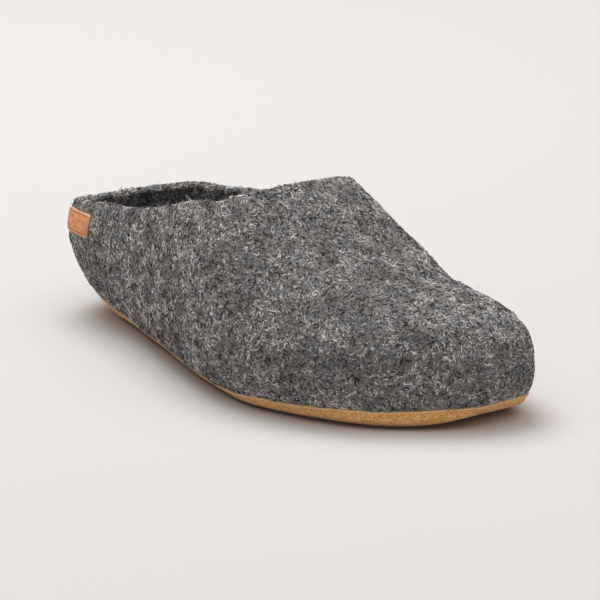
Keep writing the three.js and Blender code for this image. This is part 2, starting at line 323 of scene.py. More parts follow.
def swell(points):
    """How far the whole wall is pushed out: long waves and the placed dents, but nothing where the
    sole is pressed flat on the floor."""
    uneven = waves(points, 62 * MM, 0.45 * MM, seed=11) + creases(points)
    return uneven * rising(points[..., 2], FELT_FLOOR + 1 * MM, FELT_FLOOR + 12 * MM)


def suede_edge(share):
    """The height of the sole's edge: the underside and its turn-up, with the slight waver of a cut
    by hand."""
    waver = 0.22 * MM * (np.sin(2 * np.pi * share * 7.3 + 1) + 0.6 * np.sin(2 * np.pi * share * 13.1))
    return base_at(share) + SUEDE_TURN_UP * column(UNDERSIDE, UNDERSIDE["turn_up"], share) + waver


def nubble(points, seed):
    """The smaller unevenness of one face of the felt, from thumb-sized down to a few millimetres. It
    is pressed smooth where the suede is glued over it."""
    uneven = (
        waves(points, 21 * MM, 0.2 * MM, seed)
        + waves(points, 9 * MM, 0.12 * MM, seed + 1)
        + waves(points, 4.5 * MM, 0.07 * MM, seed + 2)
    )
    return uneven * rising(points[..., 2] - suede_edge(points[..., 0] / LENGTH + 0.5), -1 * MM, 3 * MM)


# %% [markdown]
# ## The felt body
#
# The body is one cup of felt, 4.5 mm thick, with a rolled edge round the opening. Solidify could
# thicken an outer sheet, but it leaves a square rim. Here one grid runs the whole way: up the
# outside from under the ball, over the rounded edge and down the inside, so the wall and the edge
# are one surface with no seam.


# %% Meshes from rings
def mesh_piece(name, points, faces, material=None):
    """A mesh object at the origin, from arrays of points and of faces with equal corner counts."""
    mesh = bpy.data.meshes.new(name)
    mesh.vertices.add(len(points))
    mesh.vertices.foreach_set("co", np.ascontiguousarray(points, np.float32).ravel())
    sides = faces.shape[1]
    mesh.loops.add(faces.size)
    mesh.loops.foreach_set("vertex_index", np.ascontiguousarray(faces, np.int32).ravel())
    mesh.polygons.add(len(faces))
    mesh.polygons.foreach_set("loop_start", np.arange(0, faces.size, sides, dtype=np.int32))
    mesh.polygons.foreach_set("use_smooth", np.ones(len(faces), bool))
    mesh.update(calc_edges=True)
    mesh.validate()
    piece = bpy.data.objects.new(name, mesh)
    bpy.context.scene.collection.objects.link(piece)
    if material:
        mesh.materials.append(material)
    return piece


def mark(piece, name, values):
    """One number on each point of a piece, for its material to read."""
    layer = piece.data.attributes.new(name, "FLOAT", "POINT")
    layer.data.foreach_set("value", np.ascontiguousarray(values, np.float32).ravel())


def ring_piece(name, first, rings, last):
    """A closed surface from a first point, over rings of equal length, to a last point. Each cell is
    two triangles, wound so that they face outwards when the rings run up the outside."""
    rows, around = rings.shape[:2]
    points = np.concatenate([first[None], rings.reshape(-1, 3), last[None]])
    i, j = np.meshgrid(np.arange(rows - 1), np.arange(around), indexing="ij")
    a = 1 + i * around + j
    b = 1 + i * around + (j + 1) % around
    c, d = a + around, b + around
    one = np.arange(around)
    two = (one + 1) % around
    end = 1 + (rows - 1) * around
    faces = np.concatenate(
        [
            np.stack([np.zeros(around, int), 1 + two, 1 + one], -1),
            np.stack([a, b, c], -1).reshape(-1, 3),
            np.stack([b, d, c], -1).reshape(-1, 3),
            np.stack([end + one, end + two, np.full(around, len(points) - 1)], -1),
        ]
    )
    return mesh_piece(name, points, faces)


def grid_normals(rings):
    """Normals of a closed grid of rings, from the steps to the neighbouring points."""
    across = np.roll(rings, -1, axis=1) - np.roll(rings, 1, axis=1)
    return unit(np.cross(across, np.gradient(rings, axis=0)))


# %% The felt body
AROUND = 360
LIP_ROLL = 1.9 * MM  # how far the rounded edge reaches past the end of the wall


def even_turns(count):
    """Angles at the opening for the great circles, closer together where those spread further apart
    at the collar and half-way down, so that the cells come out alike."""
    start = way_to(collar_at, many_turns, lean=COLLAR_LEAN)
    spread = np.zeros(len(many_turns))
    for share in (0.0, 0.3, 0.5):
        line = last_point(direction_at(start + (np.pi - start) * share, many_turns))
        spread += np.linalg.norm(np.roll(line, -1, axis=0) - line, axis=-1)
    travelled = np.concatenate([[0], np.cumsum(spread)])
    angles = np.append(many_turns, 2 * np.pi)
    return np.interp(np.linspace(0, travelled[-1], count, endpoint=False), travelled, angles)


def shell_points(way, turn, offset):
    """Points on the last, moved out along its normals by the offset and with the swell of the wall."""
    direction = direction_at(way, turn)
    point, normal = last_point(direction), last_normal(direction)
    return point + (offset + swell(point))[..., None] * normal, normal


turns = even_turns(AROUND)
collar_way = way_to(collar_at, turns, lean=COLLAR_LEAN)
edge_point, edge_normal = shell_points(collar_way, turns, np.zeros(AROUND))
beyond, _ = shell_points(collar_way + 0.01, turns, np.zeros(AROUND))
lip_way = collar_way + 0.01 * LIP_ROLL / np.linalg.norm(beyond - edge_point, axis=-1)

t = np.linspace(1, 0, 166)[1:, None]
outer_way = lip_way + (np.pi - lip_way) * (0.7 * t + 0.3 * t**6)
outer, outer_normal = shell_points(outer_way, turns, 0.0)
clear = outer[..., 2] - suede_edge(outer[..., 0] / LENGTH + 0.5)  # the felt bulges just over the sole
bulge = 0.8 * MM * rising(clear, -0.5 * MM, 1.5 * MM) * (1 - rising(clear, 3 * MM, 14 * MM))
outer = outer + (bulge + nubble(outer, 21))[..., None] * outer_normal
t = np.linspace(0, 1, 76)[:-1, None] ** 1.4
inner_way = lip_way + (np.pi - lip_way) * (0.7 * t + 0.3 * t**6)
inner, inner_normal = shell_points(inner_way, turns, -FELT_WALL)
inner = inner - nubble(inner, 31)[..., None] * inner_normal

# the rolled edge: half an ellipse from the end of the outside to the end of the inside
roll = np.linspace(0, np.pi, 13)[1:-1, None, None]
outwards = unit(outer[-1] - outer[-2])
middle, half_wall = (outer[-1] + inner[0]) / 2, (outer[-1] - inner[0]) / 2
lip = middle + half_wall * np.cos(roll) + LIP_ROLL * outwards * np.sin(roll)

felt_rings = np.concatenate([outer, lip, inner])
felt_rings[..., 1] += seat_y
pole = direction_at(np.array([np.pi]), np.array([0.0]))
pole_point, pole_normal = last_point(pole)[0] + [0, seat_y, 0], last_normal(pole)[0]
felt_body = ring_piece("felt_body", pole_point, felt_rings, pole_point - FELT_WALL * pole_normal)
print("felt body", len(felt_body.data.polygons), "triangles")

# %% [markdown]
# ## The suede sole
#
# One sheet of suede, 2.2 mm thick, glued under the felt. Its edge is cut after gluing, so it follows
# the felt closely, stands a little proud of it and turns up by about 1 mm at the waist, 5 mm round
# the toe and 11 mm behind the heel. It is the same great circles again, moved out by the gap and by
# the thickness, and cut off at the edge's own height.


# %% The suede sole
EDGE_THICKNESS = 1.3 * MM  # the suede is pared thinner over the last 1.6 mm of its turn-up


def suede_at(way, turn):
    """How thick the suede is at a place: its whole thickness, less towards the cut edge."""
    skin = last_point(direction_at(way, turn))
    below_edge = suede_edge(skin[..., 0] / LENGTH + 0.5) - skin[..., 2]
    return EDGE_THICKNESS + (SUEDE_THICKNESS - EDGE_THICKNESS) * rising(below_edge, 0, 1.6 * MM)


edge_way = way_to(suede_edge, turns, GLUE_GAP + EDGE_THICKNESS)
t = np.linspace(1, 0, 70)[1:, None] ** 1.5
sole_way = edge_way + (np.pi - edge_way) * t
sole_outer, _ = shell_points(sole_way, turns, GLUE_GAP + suede_at(sole_way, turns))
sole_outer += (waves(sole_outer, 3 * MM, 0.03 * MM, 41) + waves(sole_outer, 14 * MM, 0.06 * MM, 42))[
    ..., None
] * grid_normals(sole_outer)
t = np.linspace(0, 1, 20)[:-1, None]
sole_inner, _ = shell_points(edge_way + (np.pi - edge_way) * t, turns, GLUE_GAP)
# the cut edge: nearly square, with its two corners worn round
roll = np.linspace(0, np.pi, 11)[1:-1, None, None]
edge_up = unit(sole_outer[-1] - sole_outer[-2])
middle, half_cut = (sole_outer[-1] + sole_inner[0]) / 2, (sole_outer[-1] - sole_inner[0]) / 2
square = 0.45  # the power of the rounding: 1 is round, and less is squarer
cut = (
    middle
    + half_cut * np.sign(np.cos(roll)) * np.abs(np.cos(roll)) ** square
    + 0.5 * MM * edge_up * np.sin(roll) ** square
)
sole_rings = np.concatenate([sole_outer, cut, sole_inner])
sole_rings[..., 1] += seat_y
sole_rings[..., 2] = np.maximum(sole_rings[..., 2], 0)
under = pole_point + (GLUE_GAP + SUEDE_THICKNESS) * pole_normal
under[2] = 0
suede_sole = ring_piece("suede_sole", under, sole_rings, pole_point + GLUE_GAP * pole_normal)
# how much each point belongs to the cut edge
at_cut = np.zeros(sole_rings.shape[:2])
at_cut[len(sole_outer) : -len(sole_inner)] = 1
mark(suede_sole, "cut", np.concatenate([[0], at_cut.ravel(), [0]]))
print("suede sole", len(suede_sole.data.polygons), "triangles")

# %% [markdown]
# ## The insole
#
# A loose footbed of needled felt, cut to the inside of the body. A real one is a flat blank with
# soft edges that the foot has pressed slightly hollow.

# %% The insole
INSOLE_INSET = FELT_WALL + GLUE_GAP + 0.3 * MM
BED_ROUNDING = 1.4 * MM  # how far the footbed's soft edge rounds down


def footbed_at(share):
    """The height of the footbed's top face at its edge."""
    return base_at(share) + FELT_WALL + GLUE_GAP + INSOLE_THICKNESS


bed_way = way_to(lambda share: footbed_at(share) - BED_ROUNDING, turns, -INSOLE_INSET)
t = np.linspace(0, 1, 14)[:-1, None]
bed_under, _ = shell_points(bed_way + (np.pi - bed_way) * t, turns, -INSOLE_INSET)
rim = bed_under[0]
heart = np.array([0.06 * LENGTH, rim[:, 1].mean(), 0])
r = 1 - (1 - np.linspace(0, 1, 60)[1:-1, None, None]) ** 1.7
bed_top = heart + (rim - heart) * r
from_edge = (1 - r[..., 0]) * np.linalg.norm((rim - heart)[:, :2], axis=-1)
soft_edge = 1 - np.clip(from_edge / (2.2 * MM), 0, 1)
bed_top[..., 2] = (
    footbed_at(bed_top[..., 0] / LENGTH + 0.5)
    - BED_ROUNDING * (1 - np.sqrt(1 - np.clip(soft_edge, 0, 0.999) ** 2))
    - 0.7 * MM * (1 - np.exp(-from_edge / (18 * MM)))
    + waves(bed_top, 7 * MM, 0.06 * MM, 51)
)
bed_rings = np.concatenate([bed_top, bed_under])
bed_rings[..., 1] += seat_y
heart_top = np.array([heart[0], heart[1] + seat_y, bed_top[0, :, 2].mean()])
bed_bottom = pole_point - INSOLE_INSET * pole_normal
felt_insole = ring_piece("felt_insole", heart_top, bed_rings[:, ::-1], bed_bottom)
print("insole", len(felt_insole.data.polygons), "triangles")

# %% [markdown]
# ## The heel label
#
# A strip of tan leather, 21 by 10.5 mm, on the outer side of the heel under the collar. It bends with
# the felt, its cut edges are slightly rounded, and a pressed line runs a millimetre inside them. The
# face inside the line is left bare.

# %% The heel label
LABEL_BEARING = np.radians(260)
LABEL_MIDDLE = 0.885 * HEEL_HEIGHT
HEEL_AXIS = np.array([HEEL_WIDTH / 2 - LENGTH / 2, 0.0])
FACING = np.array([np.cos(LABEL_BEARING), np.sin(LABEL_BEARING)])
ALONG = np.array([-FACING[1], FACING[0]])


def outer_side(share, height):
    """How far the last reaches to the outer side at a share of the length and a height."""
    s = section_at(share)
    high = np.clip((height - s["widest"]) / (s["top"] - s["widest"] + 1e-9), 0, 1)
    low = np.clip((s["widest"] - height) / (s["widest"] - s["bottom"] + 1e-9), 0, 1)
    over = s["ridge"] - (s["half"] + s["ridge"]) * (1 - high ** s["square"]) ** (1 / s["square"])
    under = -s["flat"] - (s["half"] - s["flat"]) * np.sqrt(1 - low**2)
    return s["middle"] + np.where(height > s["widest"], over, under)


def heel_point(along, height):
    """The point of the heel straight out from its axis on the label's bearing, moved sideways by
    `along`, at a height. Found by halving an interval 40 times."""
    near, far = np.zeros_like(along), np.full_like(along, 60 * MM)
    for _ in range(40):
        middle = (near + far) / 2
        spot = HEEL_AXIS + middle[..., None] * FACING + along[..., None] * ALONG
        share = spot[..., 0] / LENGTH + 0.5
        inside = (share > 0) & (spot[..., 1] > outer_side(np.clip(share, 1e-6, 1), height))
        near, far = np.where(inside, middle, near), np.where(inside, far, middle)
    return np.concatenate([spot, height[..., None]], axis=-1)


angle = np.linspace(0, 2 * np.pi, 240, endpoint=False)
corner = (np.abs(np.cos(angle)) ** 14 + np.abs(np.sin(angle)) ** 14) ** (-1 / 14)
r = np.linspace(0, 1, 56)[1:, None] ** 0.8
label_u = LABEL_LENGTH / 2 * r * corner * np.cos(angle)
label_v = LABEL_HEIGHT / 2 * r * corner * np.sin(angle)
heel_skin = heel_point(label_u, LABEL_MIDDLE + label_v)
# the skin's normal, from the same point a little further along and a little higher
nearby = 0.4 * MM
label_z = LABEL_MIDDLE + label_v
further = heel_point(label_u + nearby, label_z) - heel_point(label_u - nearby, label_z)
higher = heel_point(label_u, label_z + nearby) - heel_point(label_u, label_z - nearby)
skin_normal = unit(np.cross(further, higher))
heel_skin = heel_skin + swell(heel_skin)[..., None] * skin_normal
# how far inside the cut edges each point lies, for the worn corners and for the pressed line
from_cut = np.minimum(LABEL_LENGTH / 2 - np.abs(label_u), LABEL_HEIGHT / 2 - np.abs(label_v))
rounding = 1 - np.clip(from_cut / (0.45 * MM), 0, 1)
pressed = np.exp(-(((from_cut - 1.25 * MM) / (0.28 * MM)) ** 2))
face_height = (
    GLUE_GAP
    + LABEL_THICKNESS
    - 0.4 * MM * (1 - np.sqrt(1 - np.clip(rounding, 0, 0.995) ** 2))
    - 0.25 * MM * pressed
    + waves(heel_skin, 2.2 * MM, 0.03 * MM, 61)
)
label_face = heel_skin + face_height[..., None] * skin_normal
label_back = heel_skin[::-9] + GLUE_GAP * skin_normal[::-9]
label_rings = np.concatenate([label_face, label_back])
label_rings[..., 1] += seat_y
centre = label_rings[0].mean(0), label_rings[-1].mean(0)
heel_label = ring_piece("bare_leather_label", centre[0], label_rings[:, ::-1], centre[1])
sides = np.concatenate([from_cut < 0.3 * MM, np.ones(label_back.shape[:2])])
mark(heel_label, "cut", np.concatenate([[0], sides[:, ::-1].ravel(), [1]]))
unpressed = np.zeros(label_back[..., 0].size + 1)
mark(heel_label, "pressed", np.concatenate([[0], pressed[:, ::-1].ravel(), unpressed]))
print("label", len(heel_label.data.polygons), "triangles")

# %% [markdown]
# ## Colours and nodes
#
# Colours are written as the sRGB hex values that one reads off a picture, and one function turns them
# into the linear light that shaders work in. Every material is built with the same small function,
# which adds a node, sets it and links it in one line.


# %% Colours and nodes
def linear(code):
    """An sRGB colour such as "8a7f70" as linear RGBA: each channel through the sRGB curve."""
    parts = [int(code[k : k + 2], 16) / 255 for k in (0, 2, 4)]
    return (*[v / 12.92 if v <= 0.04045 else ((v + 0.055) / 1.055) ** 2.4 for v in parts], 1)


def node(tree, kind, inputs=None, **settings):
    """One shader node with its settings; an input is a value, or the output that feeds it."""
    made = tree.nodes.new("ShaderNode" + kind)
    for name, value in settings.items():
        setattr(made, name, value)
    for name, value in (inputs or {}).items():
        if isinstance(value, bpy.types.NodeSocket):
            tree.links.new(value, made.inputs[name])
        else:
            made.inputs[name].default_value = value
    return made


def blank_material(name):
    """A material with only its output, and its node tree."""
    material = bpy.data.materials.new(name)
    material.use_nodes = True
    material.node_tree.nodes.clear()
    return material, material.node_tree


def mixed(tree, factor, first, second, blend="MIX"):
    """The colour output of a mix of two colours."""
    inputs = {0: factor, 6: first, 7: second}
    return node(tree, "Mix", inputs, data_type="RGBA", blend_type=blend).outputs[2]


def stepped(tree, value, start, end, low=0.0, high=1.0):
    """A value carried smoothly from low to high as it goes from the start to the end."""
    inputs = {"Value": value, "From Min": start, "From Max": end, "To Min": low, "To Max": high}
    return node(tree, "MapRange", inputs, interpolation_type="SMOOTHSTEP").outputs[0]


def noise(tree, where, size, detail=2.0, roughness=0.5, warp=0.0):
    """The value of a noise whose blotches are about `size` across."""
    inputs = {"Vector": where, "Scale": 1 / size, "Detail": detail, "Roughness": roughness}
    return node(tree, "TexNoise", inputs | {"Distortion": warp}).outputs["Fac"]


# %% [markdown]
# ## Wet-felted wool
#
# Undyed grey wool is a blend of nearly black, grey and pale fibres, 0.03 mm thick, matted in every
# direction. The eye sees a salt-and-pepper of crossing strands, cloudy where one shade gathers, and a
# pale bloom at grazing angles from the loose ends. A particle system could grow the fibres, but it
# exports as nothing. Here the felt has crossing strands drawn in its material, and real strands of
# mesh lie over it. Each stands for a lock of fibres, 0.1 to 0.9 mm thick, coarser than wool, so that
# it shows.

# %% The wool of the felt body
CLOUD = 9 * MM  # how large the clouds of one shade are


def wool_clouds(tree, where):
    """How pale the blend is at a place: soft clouds in two sizes."""
    small = noise(tree, where, CLOUD, detail=3, roughness=0.55, warp=0.6)
    large = noise(tree, where, 4 * CLOUD, detail=1)
    both = node(tree, "Math", {0: small, 1: 0.75}, operation="MULTIPLY").outputs[0]
    both = node(tree, "Math", {0: large, 1: 0.25, 2: both}, operation="MULTIPLY_ADD").outputs[0]
    return stepped(tree, both, 0.38, 0.62)


def tinted(tree, where, colour):
    """The faint tints of undyed wool: bluish locks here and brownish ones there."""
    blue = noise(tree, where, 7 * MM, detail=2, warp=0.5)
    brown = noise(tree, where, 6 * MM, detail=2, warp=0.8)
    colour = mixed(tree, stepped(tree, blue, 0.52, 0.7, 0, 0.65), colour, linear("cfd7e4"), "MULTIPLY")
    return mixed(tree, stepped(tree, brown, 0.5, 0.7, 0, 0.7), colour, linear("e8dacd"), "MULTIPLY")


def crossing_strands(tree, where, turns_by, length, thickness, edge):
    """Where strands of one lie run: the thin contour lines of a noise that is stretched along the
    strands, 1 on a strand and 0 between them."""
    lie = node(
        tree,
        "Mapping",
        {"Vector": where, "Rotation": turns_by, "Scale": (1 / length, 1 / thickness, 1 / thickness)},
    )
    value = node(tree, "TexNoise", {"Vector": lie.outputs[0], "Scale": 1.0, "Detail": 1.0, "Distortion": 0.5})
    off = node(tree, "Math", {0: value.outputs["Fac"], 1: 0.5}, operation="SUBTRACT").outputs[0]
    off = node(tree, "Math", {0: off}, operation="ABSOLUTE").outputs[0]
    return stepped(tree, off, 0.01, edge, 1.0, 0.0)


def felt_material(name, dark, grey, pale, bloom):
    """Matted wool: clouds of dark and grey, crossed by dark and then by pale strands."""
    material, tree = blank_material(name)
    where = node(tree, "TexCoord").outputs["Object"]
    clouds = wool_clouds(tree, where)
    fine = noise(tree, where, 0.9 * MM, detail=2, roughness=0.7)
    colour = mixed(tree, clouds, linear(dark), linear(grey))
    colour = mixed(tree, stepped(tree, fine, 0.42, 0.72, 0, 0.6), colour, linear(pale))
    height = fine
    lies = [(0.3, 0.2, 0.1), (1.3, 0.5, 0.9), (0.2, 1.1, 1.7), (0.9, 0.3, 2.5), (1.9, 0.8, 0.4)]
    lies.append((0.6, 1.6, 1.2))
    for k, lie in enumerate(lies):
        strands = crossing_strands(tree, where, lie, 5.5 * MM, 0.75 * MM, 0.09)
        shade = pale if k % 3 else dark
        amount = node(tree, "Math", {0: strands, 1: 0.55 if k % 3 else 0.7}, operation="MULTIPLY").outputs[0]
        colour = mixed(tree, amount, colour, linear(shade))
        height = node(tree, "Math", {0: strands, 1: 0.35, 2: height}, operation="MULTIPLY_ADD").outputs[0]
    bump = node(tree, "Bump", {"Height": height, "Strength": 0.8, "Distance": 0.35 * MM})
    shader = node(
        tree,
        "BsdfPrincipled",
        {
            "Base Color": tinted(tree, where, colour),
            "Roughness": 0.95,
            "IOR": 1.45,
            "Specular IOR Level": 0.2,
            "Sheen Weight": bloom,
            "Sheen Roughness": 0.45,
            "Normal": bump.outputs[0],
        },
    )
    node(tree, "OutputMaterial", {"Surface": shader.outputs[0]})
    return material


WOOL_DARK, WOOL_GREY, WOOL_PALE = "201f20", "575554", "a6a2a0"
wet_felted_wool = felt_material("wet_felted_wool", WOOL_DARK, WOOL_GREY, WOOL_PALE, 0.25)
felt_body.data.materials.append(wet_felted_wool)
needled_felt = felt_material("needled_insole_felt", "4a4544", "7d7775", "b4aeaa", 0.2)
felt_insole.data.materials.append(needled_felt)


# %% The wool of the loose strands
def strand_material(name, low, high, bloom):
    """Wool of one shade of the blend, from its darker to its paler tone: paler where the clouds are
    pale, and uneven along each strand."""
    material, tree = blank_material(name)
    where = node(tree, "TexCoord").outputs["Object"]
    along = noise(tree, where, 1.6 * MM, detail=2, roughness=0.6)
    tone = node(tree, "Math", {0: wool_clouds(tree, where), 1: 0.6}, operation="MULTIPLY").outputs[0]
    tone = node(tree, "Math", {0: along, 1: 1.4, 2: tone}, operation="MULTIPLY_ADD").outputs[0]
    colour = mixed(tree, stepped(tree, tone, 0.62, 1.32), linear(low), linear(high))
    bump = node(tree, "Bump", {"Height": along, "Strength": 0.3, "Distance": 0.1 * MM})
    shader = node(
        tree,
        "BsdfPrincipled",
        {
            "Base Color": tinted(tree, where, colour),
            "Roughness": 0.85,
            "IOR": 1.55,
            "Specular IOR Level": 0.3,
            "Sheen Weight": bloom,
            "Normal": bump.outputs[0],
        },
    )
    node(tree, "OutputMaterial", {"Surface": shader.outputs[0]})
    return material


dark_wool = strand_material("dark_wool_strands", "090909", "323131", 0.05)
grey_wool = strand_material("grey_wool_strands", "323131", "8a8887", 0.1)
pale_wool = strand_material("pale_wool_strands", "706e6d", "faf8f6", 0.2)

# %% [markdown]
# ## The strands that lie on the felt
#
# Each strand is a spindle: two tips and a ring of three points between them, bowed a little and laid
# along the felt in any direction, with its tips sunk in. Tens of thousands are computed as arrays and
# joined in one mesh for each shade. They are scattered by area, so that no part is balder than
# another, and kept off the suede and the label. The rolled edge has more pale ones, as a painted
# highlight where light catches the rim.


# %% Where the strands may lie
HIDDEN_BELOW = 26 * MM  # the inside is too dark and deep to need strands under this height
BESIDE_LABEL = 0.8 * MM  # how far the strands keep off the label
normals = grid_normals(felt_rings)
corner_a, corner_b = felt_rings[:-1], np.roll(felt_rings, -1, axis=1)[:-1]
corner_c, corner_d = felt_rings[1:], np.roll(felt_rings, -1, axis=1)[1:]
area = np.linalg.norm(np.cross(corner_b - corner_a, corner_c - corner_a), axis=-1)
spot = corner_a - [0, seat_y, 0]
above_suede = spot[..., 2] - suede_edge(spot[..., 0] / LENGTH + 0.5)
row = np.arange(len(area))[:, None] * np.ones(AROUND)
on_outside, on_inside = row < len(outer), row >= len(outer) + len(lip) - 1
from_axis = spot[..., :2] - HEEL_AXIS
on_label = (
    (np.abs(from_axis @ ALONG) < LABEL_LENGTH / 2 + BESIDE_LABEL)
    & (np.abs(spot[..., 2] - LABEL_MIDDLE) < LABEL_HEIGHT / 2 + BESIDE_LABEL)
    & (from_axis @ FACING > 0)
)
# how thickly the strands lie, next to the outside: more on the dim inside, so that its felt shows paler, a
# painted lightening of its shade, and on the rolled edge
growth = np.where(on_outside, 1.0, np.where(on_inside, 1.2, 1.4))
growth = growth * np.where(on_outside, rising(above_suede, 0.1 * MM, 0.6 * MM), 1) * ~(on_outside & on_label)
growth = growth * ~(on_inside & (spot[..., 2] < HIDDEN_BELOW))
# the area up to and with each cell: of the whole felt, weighted by its growth, and of the rim alone
growing = np.cumsum((area * growth).ravel())
growing_on_rim = np.cumsum((area * ~(on_outside | on_inside)).ravel())
print("felt with strands", round(growing[-1] * 1e4), "cm2, rim", round(growing_on_rim[-1] * 1e4), "cm2")


def scatter(count, draw, area_up_to):
    """Random places on the felt, as likely on each square millimetre, with their normals."""
    cell = np.searchsorted(area_up_to, draw.uniform(0, area_up_to[-1], count))
    i, j = np.unravel_index(cell, area.shape)
    u, v = draw.uniform(size=(2, count, 1))
    place = (1 - v) * ((1 - u) * corner_a[i, j] + u * corner_b[i, j]) + v * (
        (1 - u) * corner_c[i, j] + u * corner_d[i, j]
    )
    return place, normals[i, j]


def strands(
    name, count, seed, material, length, width, rings=1, rise=0.25, loose=0.05, curl=0.2, on=growing
):
    """Spindles laid on the felt. Along each, s runs from -1 to 1: its line is straight in s, bowed
    sideways by curl x (1 - s^2) of its length, lifted by rise x (1 - s^2), and in the loose ones one
    end stands off. Its thickness follows a half circle in s. All lengths are in millimetres."""
    draw = np.random.default_rng(seed)
    place, up = scatter(count, draw, on)
    along = unit(np.cross(up, draw.normal(size=(count, 3))))
    side = np.cross(up, along)
    long = length * MM * draw.lognormal(0, 0.35, (count, 1))
    thick = width * MM * draw.uniform(0.6, 1.4, (count, 1))
    s = np.linspace(-1, 1, rings + 2)
    bow = draw.normal(0, curl, (count, 1)) * long * (1 - s**2)
    sway = draw.normal(0, curl * (rings > 1), (count, 1)) * long * np.sin(np.pi * s)
    lifted = rise * MM * draw.uniform(0.2, 1.3, (count, 1)) * (1 - s**2) - 0.12 * MM
    standing = (draw.uniform(size=(count, 1)) < loose) * draw.exponential(0.16, (count, 1)) * long
    height = lifted + standing * ((s + 1) / 2) ** 1.5
    line = (
        place[:, None]
        + along[:, None] * (s * long / 2)[..., None]
        + side[:, None] * (bow + sway)[..., None]
        + up[:, None] * height[..., None]
    )
    turn = 2 * np.pi * np.arange(3) / 3
    round_about = np.cos(turn)[:, None] * up[:, None] * 0.7 + np.sin(turn)[:, None] * side[:, None]
    radius = thick / 2 * np.sqrt(1 - s[1:-1] ** 2)
    tubes = line[:, 1:-1, None] + radius[..., None, None] * round_about[:, None]
    points = np.concatenate([line[:, :1], tubes.reshape(count, -1, 3), line[:, -1:]], axis=1)
    k = np.arange(3)
    after = (k + 1) % 3
    faces = [np.stack([0 * k, 1 + k, 1 + after], -1)]
    for ring in range(rings - 1):
        here, there = 1 + 3 * ring, 4 + 3 * ring
        faces.append(np.stack([here + k, there + k, here + after], -1))
        faces.append(np.stack([here + after, there + k, there + after], -1))
    last_ring, tip = 3 * rings - 2, 3 * rings + 1
    faces.append(np.stack([last_ring + k, tip + 0 * k, last_ring + after], -1))
    faces = np.concatenate(faces)[None] + (np.arange(count) * points.shape[1])[:, None, None]
    piece = mesh_piece(name, points.reshape(-1, 3), faces.reshape(-1, 3), material)
    print(name, count, "strands,", len(piece.data.polygons), "triangles")
    return piece


wool = [
    strands("dark_wool", 33000, 71, dark_wool, length=2.6, width=0.62, loose=0.0),
    strands("grey_wool", 25000, 72, grey_wool, length=2.6, width=0.5, loose=0.03),
    strands("pale_wool", 33000, 73, pale_wool, length=2.7, width=0.54),
    # pale strands on the rolled edge only: a painted highlight where light catches the rim
    strands("rim_highlight_wool", 2600, 75, pale_wool, length=2.4, width=0.42, on=growing_on_rim),
    strands("stray_wool", 3200, 74, pale_wool, 4.6, 0.16, rings=4, rise=0.5, loose=0.3, curl=0.18),
]

# %% [markdown]
# ## Suede and leather
#
# Suede is the split inner side of a hide, sanded to a short nap: matt, ochre, with soft blotches where
# the nap lies one way or the other, and paler where it is cut. The label is vegetable-tanned leather
# with its smooth grain side out: tighter, redder and with a low shine, and its cut edges are pale.


# %% Suede
def suede_material():
    """Short nap: blotches of two ochres, a speckle of fibre ends, a paler cut edge on top, and painted
    shade: dark brown where the sheet turns under to the floor."""
    material, tree = blank_material("ochre_suede")
    where = node(tree, "TexCoord").outputs["Object"]
    blotch = noise(tree, where, 5 * MM, detail=4, roughness=0.6, warp=0.4)
    nap = noise(tree, where, 0.7 * MM, detail=3, roughness=0.7)
    colour = mixed(tree, stepped(tree, blotch, 0.3, 0.7), linear("e6a45a"), linear("ffc87f"))
    colour = mixed(tree, stepped(tree, nap, 0.38, 0.6, 0.6, 0), colour, linear("9a5f2c"))
    colour = mixed(tree, stepped(tree, nap, 0.46, 0.66, 0, 0.6), colour, linear("ffd9a4"))
    cut = node(tree, "Attribute", attribute_name="cut").outputs["Fac"]
    colour = mixed(tree, stepped(tree, cut, 0.3, 1, 0, 0.5), colour, linear("f7d6a6"))
    above_floor = node(tree, "SeparateXYZ", {"Vector": where}).outputs["Z"]
    # painted shade: the lowest 0.8 to 3.6 mm of the sole turn dark brown, standing in for the shadow where it
    # meets the floor
    colour = mixed(tree, stepped(tree, above_floor, 0.8 * MM, 3.6 * MM, 0.9, 0), colour, linear("7d4216"))
    height = node(tree, "Math", {0: blotch, 1: 0.5, 2: nap}, operation="MULTIPLY_ADD").outputs[0]
    bump = node(tree, "Bump", {"Height": height, "Strength": 0.7, "Distance": 0.25 * MM})
    shader = node(
        tree,
        "BsdfPrincipled",
        {
            "Base Color": colour,
            "Roughness": 0.9,
            "IOR": 1.5,
            "Specular IOR Level": 0.25,
            "Sheen Weight": 0.25,
            "Sheen Roughness": 0.4,
            "Normal": bump.outputs[0],
        },
    )
    node(tree, "OutputMaterial", {"Surface": shader.outputs[0]})
    return material


suede_sole.data.materials.append(suede_material())


